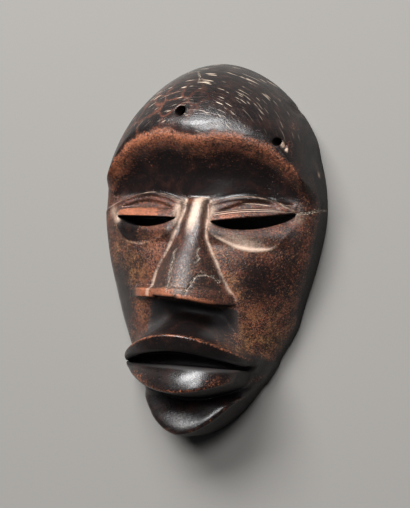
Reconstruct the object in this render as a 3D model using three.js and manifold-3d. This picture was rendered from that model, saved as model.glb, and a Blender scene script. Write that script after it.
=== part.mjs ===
// A carved wooden face mask: one piece of hardwood, hollow at the back, lying on its flat rim.
// Millimetres. X runs to the viewer's right, Y to the crown and Z out of the face. The origin is
// under the middle of the mask, in the plane of the rim.
import * as THREE from 'three';
import { mergeVertices } from 'three/addons/utils/BufferGeometryUtils.js';
import Module from 'manifold-3d';

const wasm = await Module();
wasm.setup();

// Outline of the rim: an egg, widest across the temples
const HALF_WIDTH = 72;
const WIDEST_Y = 23;
const CROWN_REACH = 97;
const CHIN_REACH = 143;
const SIDE_POWER = 1.85;
const CROWN_POWER = 2;
const CHIN_POWER = 1.45;
const BOW = 3;

// Dome that the face is cut from, and the hollow behind it
const DOME_HEIGHT = 70;
const RIM_WALL = 9;
const RIM_CUT = 6;

// Eyes: narrow slits below a raised arch, with a scooped bag under each
const EYE_X = 35.8;
const EYE_HALF = 24.2;
const EYE_Y = 17.6;
const EYE_TILT = 3.8;
const SLIT_HEIGHT = 6.6;
const ARCH_STEP = 5;
const LID_SWELL = 2.6;
const BAG_SCOOP = 6.5;

// Nose: a wedge with a flat base that overhangs the upper lip
const NOSE_TOP = 29;
const NOSE_BASE = -31.6;
const NOSE_HOLLOW = 12;

// Lips: two shelves that follow half an ellipse around the mouth
const LIP_HALF = 48;
const LIP_FOOT = 14;
const LIP_REACH = 63;
const UPPER_LIP_Y = -56.7;
const UPPER_LIP_BEND = 17;
const UPPER_LIP_TALL = 11;
const LOWER_LIP_Y = -92;
const LOWER_LIP_BEND = 16.5;
const MOUTH_Y = -71.6;
const MOUTH_HALF = 41;
const MOUTH_GAP = 7;
const MOUTH_FLOOR = 36;

// Cord holes through the forehead
const CORD_HOLES = [
  { x: -12, y: 83, radius: 3.5 },
  { x: 50, y: 66, radius: 3.3 },
];

const { clamp, lerp, smoothstep } = THREE.MathUtils;

// Smooth curve through a few stations, each [position, value]
function through(stations, at) {
  const last = stations.length - 1;
  if (at <= stations[0][0]) return stations[0][1];
  if (at >= stations[last][0]) return stations[last][1];
  let i = 0;
  while (stations[i + 1][0] < at) i += 1;
  const slope = (k) => (stations[k + 1][1] - stations[k][1]) / (stations[k + 1][0] - stations[k][0]);
  const tangent = (k) => {
    if (k === 0) return slope(0);
    if (k === last) return slope(last - 1);
    const before = slope(k - 1);
    const after = slope(k);
    return before * after > 0 ? (2 * before * after) / (before + after) : 0;
  };
  const step = stations[i + 1][0] - stations[i][0];
  const t = (at - stations[i][0]) / step;
  const t2 = t * t;
  const t3 = t2 * t;
  const fromStart = (2 * t3 - 3 * t2 + 1) * stations[i][1] + (t3 - 2 * t2 + t) * step * tangent(i);
  const fromEnd = (3 * t2 - 2 * t3) * stations[i + 1][1] + (t3 - t2) * step * tangent(i + 1);
  return fromStart + fromEnd;
}

// Larger or smaller of two heights, with the corner between them eased over a width
function easedMax(a, b, width) {
  const h = clamp(0.5 + (0.5 * (a - b)) / width, 0, 1);
  return lerp(b, a, h) + width * h * (1 - h);
}

function easedMin(a, b, width) {
  return -easedMax(-a, -b, width);
}

// How far a height on the rim's long axis is from the widest place, 1 at the crown or the chin
function reachAt(y, shrink) {
  const above = y > WIDEST_Y;
  const reach = (above ? CROWN_REACH : CHIN_REACH) - shrink;
  const power = above ? CROWN_POWER : CHIN_POWER;
  return Math.min(Math.abs(y - WIDEST_Y) / reach, 1) ** power;
}

// Half the width of the rim's outline at a height
function halfWidthAt(y, shrink = 0) {
  return (HALF_WIDTH - shrink) * (1 - reachAt(y, shrink)) ** (1 / SIDE_POWER);
}

// The crown and the chin lie a little to the left of the middle
function bowAt(y) {
  return -BOW * ((y - 8) / 120) ** 2;
}

// The uncut dome: steep sides at the cheeks, rounder at the crown
const SIDE_FULLNESS = [[-127, 4.4], [-62, 3.4], [-22, 3.6], [18, 3.8], [43, 3.2], [68, 2.8], [98, 2.2], [120, 1.9]];

function domeHeight(x, y, shrink = 0) {
  const inside = 1 - (Math.abs(x) / (HALF_WIDTH - shrink)) ** SIDE_POWER - reachAt(y, shrink);
  return (DOME_HEIGHT - shrink) * Math.max(inside, 0) ** (1 / through(SIDE_FULLNESS, y));
}

// Edge of the forehead: highest over the eyes, with a slight dip in the middle
const BROW_EDGE = [[0, 66.5], [8, 67.2], [15, 69.5], [25, 69.8], [34, 67.5], [45, 63], [53, 56], [59, 50], [65.5, 42], [72, 39]];

function browEdge(x) {
  return through(BROW_EDGE, Math.hypot(x, 3));
}

// The face below the forehead: a shield that falls away to both sides, with a trough across the eyes
const EYE_TROUGH_Y = 34;
const BROW_RISE = 31;
const SHIELD = [
  [-132, 28], [-114, 33], [-105, 38], [-98, 36], [-92, 35], [-72, 44], [-47, 50], [-29, 53],
  [-7, 55], [18, 56], [34, 57], [50, 60], [65, 64.5], [88, 100], [128, 160],
];
const SHIELD_ROUNDING = [[-132, 70], [-102, 72], [-72, 75], [-47, 90], [-29, 106], [-2, 138], [22, 152], [48, 160], [118, 400]];
const TROUGH = [[-8, 0], [2, 2], [12, 7], [23, 11], [32, 13], [42, 13], [50, 11], [58, 6], [64, 1], [68, 0]];

function faceHeight(x, y) {
  const side = Math.abs(x);
  const share = (y - EYE_TROUGH_Y) / (browEdge(x) - EYE_TROUGH_Y);
  const level = y > EYE_TROUGH_Y ? EYE_TROUGH_Y + BROW_RISE * share : y;
  const shield = through(SHIELD, level) - side ** 2 / through(SHIELD_ROUNDING, y);
  const trough = through(TROUGH, level) * (1 - 0.8 * smoothstep(side, 40, 68));
  const middle = 1 - smoothstep(side, 23, 33);
  const band = smoothstep(y, -60, -46) * (1 - smoothstep(y, -36, -30));
  return shield - trough - NOSE_HOLLOW * middle * band;
}

// Lines around each eye, by distance from the middle
const ARCH = [[4, 26], [12, 27.8], [22, 31], [33, 32.4], [44, 31], [54, 27.4], [66, 22.5], [74, 19]];
const BAG = [[10, 11], [15, 6.5], [22, 3], [30, 0], [37, -1], [45, -0.3], [50, 1.5], [55, 7], [62, 17], [66, 21]];

// Position along the eye (-1 at the nose, 1 at the temple) and the line of the slit's upper edge
function eyeAlong(x) {
  return (Math.abs(x) - EYE_X) / EYE_HALF;
}

function slitTop(x) {
  const right = smoothstep(x, -4, 4);
  return EYE_Y + right * (0.4 + EYE_TILT * clamp(eyeAlong(x), -1.2, 1.2));
}

function slitBottom(x) {
  return slitTop(x) - SLIT_HEIGHT * Math.max(1 - eyeAlong(x) ** 2, 0) ** 0.75;
}

function eyeRelief(x, y) {
  const side = Math.abs(x);
  const along = eyeAlong(x);
  const inside = Math.max(1 - along ** 2, 0);
  const outerFade = 1 - 0.75 * smoothstep(side, 50, 68);
  const within = 1 - smoothstep(Math.abs(along), 0.98, 1.12);
  const arch = through(ARCH, side);
  const plate = ARCH_STEP * (1 - smoothstep(y, arch - 0.8, arch + 1)) * smoothstep(y, 0, 10) * outerFade;
  const above = y - slitTop(x);
  const round = Math.sqrt(Math.max(1 - ((above - 2.2) / 3.6) ** 2, 0));
  const lid = above > -0.7 ? LID_SWELL * inside ** 0.4 * round * within : 0;
  const bag = through(BAG, side);
  const share = (y - bag) / Math.max(EYE_Y - bag, 2);
  const scoop = above < -0.3 ? BAG_SCOOP * inside ** 0.45 * smoothstep(share, 0, 0.9) * within : 0;
  return plate + lid - scoop;
}

// Nose: half-width and height of its back, and a worn bead along its lower edge
const NOSE_HALF = [[-36, 33.5], [-31, 33], [-27, 28.5], [-22, 25.5], [-12, 21], [-2, 16.5], [8, 12.5], [20, 9.5], [30, 8.2], [38, 8]];
const NOSE_BACK = [[-36, 71.5], [-31, 70.5], [-14, 66], [-2, 62], [8, 58.5], [20, 55], [28, 53], [34, 52]];

function noseHeight(x, y) {
  if (y < NOSE_BASE || y > NOSE_TOP + 1) return 0;
  const across = Math.abs(x) / through(NOSE_HALF, y);
  if (across > 1.05) return 0;
  const ground = faceHeight(x, y) - 3;
  const bead = 1.3 * (1 - smoothstep(y, -29, -26.5));
  return ground + (through(NOSE_BACK, y) - ground) * (1 - across ** 2.8) + bead;
}

// Height of a lip's outer surface where it has drawn back from its edge by an amount
function lipHeight(x, back, half, foot, reach) {
  const width = half - back;
  const depth = reach - back;
  if (width < 1 || depth < 1 || Math.abs(x) >= width) return 0;
  return foot + depth * Math.sqrt(1 - (x / width) ** 2);
}

function upperLipEdge(x) {
  return UPPER_LIP_Y - UPPER_LIP_BEND * ((x - 1) / 47) ** 2;
}

function upperLipFoot(x) {
  return upperLipEdge(x) - UPPER_LIP_TALL * clamp(1 - 0.45 * (x / LIP_HALF) ** 2, 0.3, 1);
}

function upperLipHeight(x, y) {
  const edge = upperLipEdge(x);
  const foot = upperLipFoot(x);
  const above = 2.4 * Math.max(y - edge, 0);
  const front = 0.42 * Math.max(edge - y, 0);
  const under = 0.8 * Math.max(foot - y, 0);
  return lipHeight(x - 1, above + front + under, LIP_HALF, LIP_FOOT, LIP_REACH);
}

function lowerLipEdge(x) {
  return LOWER_LIP_Y + LOWER_LIP_BEND * (x / 49) ** 2;
}

function lowerLipHeight(x, y) {
  const edge = lowerLipEdge(x);
  const top = 0.8 * Math.max(y - edge - 9, 0);
  const round = 0.02 * (y - edge - 9) ** 2;
  const under = 12 * Math.max(edge - y, 0);
  return lipHeight(x, top + round + under, LIP_HALF - 0.5, LIP_FOOT - 2, LIP_REACH - 3);
}

// Lines of the gap between the lips
function mouthMiddle(x) {
  return MOUTH_Y - 3 * (x / MOUTH_HALF) ** 2;
}

function mouthHalfGap(x) {
  return (MOUTH_GAP / 2) * Math.max(1 - (x / MOUTH_HALF) ** 2, 0) ** 0.6;
}

function mouthTop(x) {
  return mouthMiddle(x) + mouthHalfGap(x);
}

function mouthBottom(x) {
  return mouthMiddle(x) - mouthHalfGap(x);
}

// Height of the whole front above the rim's plane
function frontHeight(x, y) {
  const dome = domeHeight(x, y);
  const face = faceHeight(x, y) + eyeRelief(x, y);
  const body = easedMin(dome, face, 4);
  const nose = Math.min(noseHeight(x, y), dome + 30);
  const lips = Math.max(upperLipHeight(x, y), lowerLipHeight(x, y));
  const raised = easedMax(easedMax(body, nose, 1.2), lips, 4);
  const atRim = Math.max(1 - (Math.abs(x) / Math.max(halfWidthAt(y), 0.1)) ** 2, 0);
  return Math.min(raised, 130 * atRim ** 0.4);
}

// Height of the hollow's roof, plain inside: it follows the face only in the large
const ROOF = [[-114, 10], [-97, 22], [-74, 29], [-40, 30], [-9, 36], [30, 31], [48, 35], [63, 43], [83, 46], [108, 46]];
const ROOF_ROUNDING = 150;

function hollowHeight(x, y) {
  const shell = domeHeight(x, y, RIM_WALL);
  const roof = through(ROOF, y) - x ** 2 / ROOF_ROUNDING;
  return Math.max(easedMin(shell, roof, 12), 0);
}

// Lines across the face that a row of facets follows, from the crown down, each with the number
// of rows up to the next line
const ROW_LINES = [
  { at: () => 119.6, rows: 9 },
  { at: () => 84, rows: 4 },
  { at: (x) => browEdge(x), rows: 7 },
  { at: (x) => through(ARCH, Math.abs(x)) + 1, rows: 1 },
  { at: (x) => through(ARCH, Math.abs(x)) - 0.8, rows: 3 },
  { at: (x) => slitTop(x), rows: 1 },
  { at: (x) => slitTop(x) - 1, rows: 2 },
  { at: (x) => slitBottom(x) - 0.6, rows: 4 },
  { at: (x) => through(BAG, Math.abs(x)), rows: 6 },
  { at: () => -27, rows: 2 },
  { at: () => NOSE_BASE + 0.3, rows: 1 },
  { at: () => NOSE_BASE - 0.9, rows: 3 },
  { at: (x) => upperLipEdge(x) + 12, rows: 4 },
  { at: (x) => upperLipEdge(x), rows: 3 },
  { at: (x) => upperLipFoot(x), rows: 2 },
  { at: (x) => mouthBottom(x), rows: 4 },
  { at: (x) => lowerLipEdge(x) + 0.3, rows: 1 },
  { at: (x) => lowerLipEdge(x) - 2, rows: 7 },
  { at: () => -119.6, rows: 0 },
];
const LINE_GAP = 0.9;
const ROWS = ROW_LINES.reduce((sum, line) => sum + line.rows, 0);
const COLUMNS = 40;
const EDGE_CROWDING = 1.35;

// Height on the mask of a row (0 at the crown, ROWS at the chin) at a distance from the middle
function rowHeight(row, x) {
  let above = ROW_LINES[0].at(x);
  let first = 0;
  for (let k = 1; k < ROW_LINES.length; k += 1) {
    const next = Math.min(ROW_LINES[k].at(x), above - LINE_GAP);
    const last = first + ROW_LINES[k - 1].rows;
    if (row <= last) return lerp(above, next, (row - first) / (last - first));
    above = next;
    first = last;
  }
  return above;
}

// Crowd the columns towards the rim, where the side wall is steep
function crowded(t) {
  return Math.sign(t) * (1 - (1 - Math.abs(t)) ** EDGE_CROWDING);
}

// The bare geometry of a block whose grid is bent to the mask
function blockGrid(columns, rows) {
  const block = new THREE.BoxGeometry(2, 2, 2, columns, rows, 1);
  block.deleteAttribute('normal');
  block.deleteAttribute('uv');
  return mergeVertices(block, 1e-4);
}

function frontBlock() {
  const geometry = blockGrid(COLUMNS, ROWS);
  const position = geometry.attributes.position;
  for (let i = 0; i < position.count; i += 1) {
    const column = crowded(position.getX(i));
    const row = ((1 - position.getY(i)) / 2) * ROWS;
    let x = 0;
    for (let pass = 0; pass < 12; pass += 1) {
      const target = column * halfWidthAt(clamp(rowHeight(row, x), -119.6, 119.6));
      x = lerp(x, target, 0.6);
    }
    const y = clamp(rowHeight(row, x), -119.6, 119.6);
    const top = position.getZ(i) > 0;
    position.setXYZ(i, x + bowAt(y), y, top ? Math.max(frontHeight(x, y), 0.5) : -RIM_CUT);
  }
  return geometry;
}

const HOLLOW_COLUMNS = 20;
const HOLLOW_ROWS = 30;

function hollowBlock() {
  const geometry = blockGrid(HOLLOW_COLUMNS, HOLLOW_ROWS);
  const position = geometry.attributes.position;
  const top = WIDEST_Y + CROWN_REACH - RIM_WALL - 0.6;
  const bottom = WIDEST_Y - CHIN_REACH + RIM_WALL + 0.6;
  for (let i = 0; i < position.count; i += 1) {
    const y = lerp(bottom, top, (crowded(position.getY(i)) + 1) / 2);
    const x = crowded(position.getX(i)) * halfWidthAt(y, RIM_WALL);
    const roof = position.getZ(i) > 0;
    position.setXYZ(i, x + bowAt(y), y, roof ? Math.max(hollowHeight(x, y), 0.5) : -2 * RIM_CUT);
  }
  return geometry;
}

// A straight cut along Z with the outline between two lines
function lensCut(from, to, upper, lower, bottom, top) {
  const steps = 12;
  const outline = new THREE.Shape();
  outline.moveTo(from, (upper(from) + lower(from)) / 2);
  for (let i = 1; i < steps; i += 1) {
    const x = lerp(from, to, i / steps);
    outline.lineTo(x, lower(x));
  }
  outline.lineTo(to, (upper(to) + lower(to)) / 2);
  for (let i = steps - 1; i > 0; i -= 1) {
    const x = lerp(from, to, i / steps);
    outline.lineTo(x, upper(x));
  }
  const cut = new THREE.ExtrudeGeometry(outline, { depth: top - bottom, bevelEnabled: false });
  cut.translate(0, 0, bottom);
  return cut;
}

function cordHole({ x, y, radius }) {
  const drill = new THREE.CylinderGeometry(radius, radius, 200, 16);
  drill.rotateX(Math.PI / 2);
  drill.translate(x, y, 0);
  return drill;
}

function mouthCut() {
  return lensCut(-MOUTH_HALF, MOUTH_HALF, mouthTop, mouthBottom, MOUTH_FLOOR, 120);
}

// Closed three.js geometry to a solid, and back
function solidOf(geometry) {
  const bare = geometry.index ? geometry.clone() : geometry;
  bare.deleteAttribute('normal');
  bare.deleteAttribute('uv');
  const merged = mergeVertices(bare, 1e-4);
  const vertProperties = new Float32Array(merged.attributes.position.array);
  const triVerts = new Uint32Array(merged.index.array);
  return new wasm.Manifold(new wasm.Mesh({ numProp: 3, vertProperties, triVerts }));
}

function geometryOf(solid) {
  const mesh = solid.getMesh();
  const geometry = new THREE.BufferGeometry();
  geometry.setAttribute('position', new THREE.BufferAttribute(new Float32Array(mesh.vertProperties), 3));
  geometry.setIndex(new THREE.BufferAttribute(new Uint32Array(mesh.triVerts), 1));
  geometry.computeVertexNormals();
  return geometry;
}

function belowRim() {
  const slab = new THREE.BoxGeometry(400, 400, 100);
  slab.translate(0, 0, -50);
  return slab;
}

function carve() {
  let mask = solidOf(frontBlock()).subtract(solidOf(hollowBlock()));
  for (const side of [-1, 1]) {
    const from = EYE_X - EYE_HALF;
    const to = EYE_X + EYE_HALF;
    const ends = side < 0 ? [-to, -from] : [from, to];
    mask = mask.subtract(solidOf(lensCut(ends[0], ends[1], slitTop, slitBottom, -10, 120)));
  }
  mask = mask.subtract(solidOf(mouthCut()));
  for (const hole of CORD_HOLES) mask = mask.subtract(solidOf(cordHole(hole)));
  return mask.subtract(solidOf(belowRim()));
}

const wood = new THREE.MeshStandardMaterial({ color: 0x2e211b, roughness: 0.42, metalness: 0 });
const mask = new THREE.Mesh(geometryOf(carve()), wood);
mask.name = 'mask';

const group = new THREE.Group();
group.add(mask);

export default group;
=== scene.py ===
from functools import partial
from math import cos, hypot, pi, radians, sin
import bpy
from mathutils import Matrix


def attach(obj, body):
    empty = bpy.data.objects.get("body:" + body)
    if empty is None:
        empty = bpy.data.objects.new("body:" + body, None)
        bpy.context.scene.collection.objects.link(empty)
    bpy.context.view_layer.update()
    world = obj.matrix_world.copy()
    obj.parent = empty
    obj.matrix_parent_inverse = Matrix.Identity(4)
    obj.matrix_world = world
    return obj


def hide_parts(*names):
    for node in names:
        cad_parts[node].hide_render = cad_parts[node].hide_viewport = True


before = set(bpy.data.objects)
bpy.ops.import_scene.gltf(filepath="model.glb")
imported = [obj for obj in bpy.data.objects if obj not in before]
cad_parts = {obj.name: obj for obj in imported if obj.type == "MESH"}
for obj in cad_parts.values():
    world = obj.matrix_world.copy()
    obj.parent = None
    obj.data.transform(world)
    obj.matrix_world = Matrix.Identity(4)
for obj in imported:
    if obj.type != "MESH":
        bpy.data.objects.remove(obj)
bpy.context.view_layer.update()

from types import SimpleNamespace

import bpy
import numpy as np
from bpy.props import FloatProperty, IntProperty, PointerProperty, StringProperty
from bpy.types import Operator, Panel, PropertyGroup
from mathutils import Matrix, Vector

bl_info = {
    "name": "Carved Wooden Mask",
    "version": (1, 0, 0),
    "blender": (4, 5, 0),
    "location": "3D View > Sidebar > Mask",
    "description": "Carves a hollow hardwood face mask with a worn patina and lights it on a pale floor",
    "category": "Object",
}

MM = 0.001


# Sizes and colours

class MaskSizes(PropertyGroup):
    """Sizes of the carving in millimetres, in the mask's own frame: X across, Y to the crown, Z out"""
    half_width: FloatProperty(name="Half width", description="Half the width at the temples", default=72)
    widest_y: FloatProperty(name="Widest place", description="Height where the outline is widest", default=23)
    crown_reach: FloatProperty(name="Crown reach", description="Widest place to the crown", default=97)
    chin_reach: FloatProperty(name="Chin reach", description="Widest place to the chin", default=143)
    bow: FloatProperty(name="Bow", description="How far crown and chin lie to the left", default=3)
    dome_height: FloatProperty(name="Dome height", description="Height of the uncut blank", default=70)
    rim_wall: FloatProperty(name="Rim wall", description="Width of the flat rim", default=9)
    eye_x: FloatProperty(name="Eye place", description="Middle of an eye from the middle line", default=35.8)
    eye_half: FloatProperty(name="Eye half width", description="Half an eye slit's length", default=24.2)
    eye_y: FloatProperty(name="Eye height", description="Line of the upper lids' edge", default=17.6)
    eye_tilt: FloatProperty(name="Eye tilt", description="Rise of the right eye to its corner", default=4.3)
    slit_height: FloatProperty(name="Slit height", description="Opening between the lids", default=6.2)
    lip_half: FloatProperty(name="Lip half width", description="Half the width of the lips", default=48)
    lip_reach: FloatProperty(name="Lip reach", description="How far the lips stand out", default=63)
    mouth_gap: FloatProperty(name="Mouth gap", description="Opening between the lips", default=7)
    cord_hole: FloatProperty(name="Cord hole", description="Radius of the larger cord hole", default=3.5)
    cell: FloatProperty(name="Cell", description="Spacing of the carved surface's points", default=0.75)
    quick_cell: FloatProperty(name="Quick cell", description="The same for a quick look", default=1.3)
    most_faces: IntProperty(name="Most triangles", description="Most that the carving keeps", default=190000)


class MaskColours(PropertyGroup):
    """Colours of the patina, the floor and the room as sRGB hex"""
    soot: StringProperty(name="Soot black", description="Smoked and oiled places", default="#0e0a0a")
    smoked: StringProperty(name="Smoked brown", description="Brown through the soot", default="#231511")
    heartwood: StringProperty(name="Heartwood", description="Stained wood of the cheeks", default="#5d3426")
    redwood: StringProperty(name="Red heartwood", description="Its redder streaks", default="#47221a")
    worn: StringProperty(name="Worn edge", description="Edges rubbed to bare wood", default="#834d34")
    marks: StringProperty(name="Tool marks", description="Fine marks around the crown", default="#352520")
    ochre: StringProperty(name="Ochre", description="Patches where the stain is thin", default="#84603f")
    residue: StringProperty(name="Residue", description="Pale residue in the cut lines", default="#a68f7e")
    scratch: StringProperty(name="Scratch", description="Fresh scratches and chips", default="#cbb8a4")
    bare: StringProperty(name="Bare wood", description="Unfinished wood of the hollow", default="#5a4130")
    bare_dark: StringProperty(name="Dark bare wood", description="Its darker grain", default="#2f2018")
    floor: StringProperty(name="Floor", description="Studio floor", default="#64625f")
    room: StringProperty(name="Room", description="Faint light from all sides", default="#e9ecf2")


class MaskStage(PropertyGroup):
    """Camera and light"""
    yaw: FloatProperty(name="Yaw", description="Turn to the right side", default=radians(19), subtype="ANGLE")
    pitch: FloatProperty(name="Pitch", description="Lean to the crown", default=radians(-2), subtype="ANGLE")
    roll: FloatProperty(name="Roll", description="The mask's lean", default=radians(4), subtype="ANGLE")
    distance: FloatProperty(name="Distance", description="Camera to mask", default=1.3, unit="LENGTH")
    pixels_per_mm: FloatProperty(name="Scale", description="Pixels for a millimetre", default=1.583)
    key_power: FloatProperty(name="Key light", description="The wide softbox", default=136, unit="POWER")
    overhead_power: FloatProperty(name="Overhead", description="The small softbox", default=36, unit="POWER")
    world: FloatProperty(name="Room light", description="Strength of the even light", default=0.07)


# Stage, in metres. Each softbox has a name, its power's name, its place, what it faces and its sides
SOFTBOXES = (
    ("Wide softbox", "key_power", (-0.45, 1.28, 1.60), (0, 0, 0.04), (1.44, 0.85)),
    ("Overhead softbox", "overhead_power", (0.16, 0.48, 1.92), (0, -0.05, 0.04), (0.55, 0.55)),
)

# How far the floor reaches from the middle, and the point that the camera faces
FLOOR_REACH = 2.5
AIM = (0, -0.002, 0.030)

# The picture's size and the pixel that shows the aimed point; the sensor's height is in millimetres
PICTURE = (410, 508)
AIM_PIXEL = (202.5, 250)
SENSOR = 36


# Small tools for heights

def ease(low, high, value):
    """Rises smoothly from 0 at low to 1 at high."""
    t = np.clip((value - low) / (high - low), 0, 1)
    return t * t * (3 - 2 * t)


def mix(a, b, share):
    return a * (1 - share) + b * share


def bell(value, width):
    """1 at 0, and 0.37 a width away on either side."""
    return np.exp(-(value / width) ** 2)


def right_share(x):
    """0 on the left half of the face, 1 on the right."""
    return ease(-4, 4, x)


def eased_min(a, b, width):
    """The smaller of two distances, rounded where they meet."""
    share = np.clip(0.5 + 0.5 * (b - a) / width, 0, 1)
    return mix(b, a, share) - width * share * (1 - share)


def eased_max(a, b, width):
    return -eased_min(-a, -b, width)


def through(stations, at):
    """A smooth curve through a few stations, each (position, value)."""
    places = np.array([s[0] for s in stations], float)
    values = np.array([s[1] for s in stations], float)
    step = np.diff(places)
    slope = np.diff(values) / step
    tangent = np.zeros_like(values)
    before, after = slope[:-1], slope[1:]
    together = before * after
    total = np.where(np.abs(before + after) < 1e-9, 1, before + after)
    tangent[1:-1] = np.where(together > 0, 2 * together / total, 0)
    tangent[0], tangent[-1] = slope[0], slope[-1]
    i = np.clip(np.searchsorted(places, at) - 1, 0, len(step) - 1)
    t = np.clip((at - places[i]) / step[i], 0, 1)
    t2, t3 = t * t, t * t * t
    start = (2 * t3 - 3 * t2 + 1) * values[i] + (t3 - 2 * t2 + t) * step[i] * tangent[i]
    end = (3 * t2 - 2 * t3) * values[i + 1] + (t3 - t2) * step[i] * tangent[i + 1]
    return start + end


def lattice(i, j, k, seed):
    """A repeatable random number from 0 to 1 for each lattice point."""
    mask = np.int64(0xFFFFFFFF)
    mixed = (i * 374761393 + j * 668265263 + k * 2147483647 + seed * 974634777) & mask
    mixed = ((mixed ^ (mixed >> 13)) * 1274126177) & mask
    mixed = ((mixed ^ (mixed >> 16)) * 2246822519) & mask
    return ((mixed ^ (mixed >> 15)) & mask) / float(mask)


def cloud(x, y, z, size, seed):
    """Smooth noise from -1 to 1 with lumps of about a size in millimetres."""
    px, py, pz = x / size + 100, y / size + 100, z / size + 100
    i, j, k = (np.floor(p).astype(np.int64) for p in (px, py, pz))
    fx, fy, fz = (t * t * (3 - 2 * t) for t in (px - i, py - j, pz - k))
    value = 0
    for a in (0, 1):
        for b in (0, 1):
            for c in (0, 1):
                weight = (fx if a else 1 - fx) * (fy if b else 1 - fy) * (fz if c else 1 - fz)
                value = value + weight * lattice(i + a, j + b, k + c, seed)
    return value * 2 - 1


# Shape of the carving, as a distance in millimetres that is negative inside the wood

# Outline: its powers, and how full the blank's sides are at each y
SIDE_POWER = 1.85
CROWN_POWER = 2
CHIN_POWER = 1.45
SIDE_FULLNESS = [(-127, 9), (-62, 3.8), (-22, 3.6), (18, 3.8), (43, 3.2), (68, 2.8), (98, 2.2), (120, 1.9)]

# Curves across half of the face, each (distance from the middle line, y)
BROW_EDGE = [
    (0, 66.5), (8, 67.2), (15, 69.5), (25, 69.8), (34, 67.5), (45, 63), (53, 56), (59, 50), (65.5, 42),
    (72, 39),
]
ARCH = [(4, 26), (12, 27.8), (22, 31), (33, 32.4), (44, 31), (54, 27.4), (66, 22.5), (74, 19)]
BAG = [(10, 11), (15, 6.5), (22, 3), (30, 0), (37, -1), (45, -0.3), (50, 1.5), (55, 7), (62, 17), (66, 21)]

# Height of the face on its middle line at each y, how round it is across, and the trough's depth
SHIELD = [
    (-132, 46), (-120, 45.2), (-113, 43), (-107, 41), (-101, 38.8), (-95, 35.5), (-88, 33.5), (-72, 42),
    (-47, 50), (-29, 53), (-7, 55), (18, 56), (34, 57), (50, 60), (65, 64.5), (88, 100), (128, 160),
]
SHIELD_ROUNDING = [
    (-132, 270), (-103, 260), (-92, 95), (-72, 75), (-47, 90), (-29, 106), (-2, 138), (22, 152), (48, 160),
    (118, 400),
]
TROUGH = [(-8, 0), (2, 0.6), (12, 2.8), (23, 10.3), (32, 13), (42, 13), (50, 11), (58, 6), (64, 1), (68, 0)]
EYE_TROUGH_Y = 34
BROW_RISE = 31
CHIN_CLEFT_Y = -88

# Nose: half its width on each side and the height of its back at each y, its ends, the hollow below it
NOSE_LEFT = [
    (-36, 28), (-31, 27.5), (-27, 26.3), (-19, 23.7), (-13, 20.7), (-6, 16.8), (0, 13.8), (12, 9.6),
    (20, 8.6), (30, 8.2), (38, 8),
]
NOSE_RIGHT = [
    (-36, 30), (-31, 29), (-25, 25), (-18, 21.5), (-10, 18), (-2, 13.7), (5, 10.9), (12, 10), (20, 9),
    (30, 8.2), (38, 8),
]
NOSE_BACK = [
    (-36, 72.6), (-31, 72), (-20, 70), (-14, 68.2), (-2, 62.8), (8, 58.3), (20, 54.2), (28, 51.5),
    (34, 49.5),
]
NOSE_BASE = -33.4
NOSE_TOP = 29.6
NOSE_HOLLOW = 17

# Lips: height of each edge in the middle, how far its ends bend, and the slot between them
UPPER_LIP_Y = -56.7
UPPER_LIP_BEND = 17
LOWER_LIP_Y = -92
LOWER_LIP_BEND = 16.5
MOUTH_Y = -71.8
MOUTH_HALF = 43
MOUTH_FLOOR = 38
UPPER_LIP_FOOT = 14
LOWER_LIP_FOOT = 12

# Limits that keep distances sound far from the wood, and the outline's share as rough millimetres
STEEPEST = 400
FARTHEST = 90
LIP_FARTHEST = 60
OUTLINE_MM = 50

# Roof of the hollow at each y, and how round it is across
ROOF = [
    (-114, 10), (-97, 22), (-74, 27), (-40, 25), (-9, 34), (30, 31), (48, 35), (63, 43), (83, 46), (108, 46),
]
ROOF_ROUNDING = 150

# Cord holes, each (x, y, share of the larger radius), and bites out of the edge, each (x, y, z, radius)
CORD_HOLES = [(-12, 83, 1), (48.6, 67, 0.75)]
BITES = [
    (56.5, 98, 12, 11.8), (62, 88.5, 12, 6), (39, 106.5, 18, 4), (-48, 98, 0, 3),
    (53.8, 65, 45, 2.4), (74.5, 30, 12, 4), (64, -34, 18, 2.5),
]

# Cracks, each a path of (x, y) and how open it is
CRACKS = [
    ([(-6.2, -3.4), (-7.9, -5.7), (-6, -9.9), (-7.4, -13.4), (-5.7, -16.2), (-7.3, -19.1), (-5.7, -22.8),
      (-7, -29.8)], 0.9),
    ([(7.9, -2.1), (7, -5), (9.1, -8.7), (7.6, -11.6)], 0.5),
    ([(5.3, -31.2), (6, -27.8), (7.4, -24.9), (8.7, -21.1), (9.8, -19.1), (13.8, -18.3), (17.4, -19.1),
      (20.2, -22.1)], 1),
    ([(60.1, 23), (63.2, 24.7), (65.8, 24.6), (71, 26.9), (73, 29)], 1),
    ([(-10, 111), (-6, 107), (-5, 103)], 0.4),
]


def bow_at(size, y):
    """How far the middle line lies from x = 0."""
    return -size.bow * ((y - 8) / 120) ** 2


def outline_sum(size, x, y, shrink=0):
    """1 on the rim's outline, less inside it."""
    above = y > size.widest_y
    reach = np.where(above, size.crown_reach, size.chin_reach) - shrink
    power = np.where(above, CROWN_POWER, CHIN_POWER)
    along = (np.abs(y - size.widest_y) / reach) ** power
    fuller = 0.03 * ease(58, 76, y) + 0.035 * bell(y + 50, 13)
    across = np.abs(x) * (1 - fuller * ease(0, 30, x))
    return (across / (size.half_width - shrink)) ** SIDE_POWER + along


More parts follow.
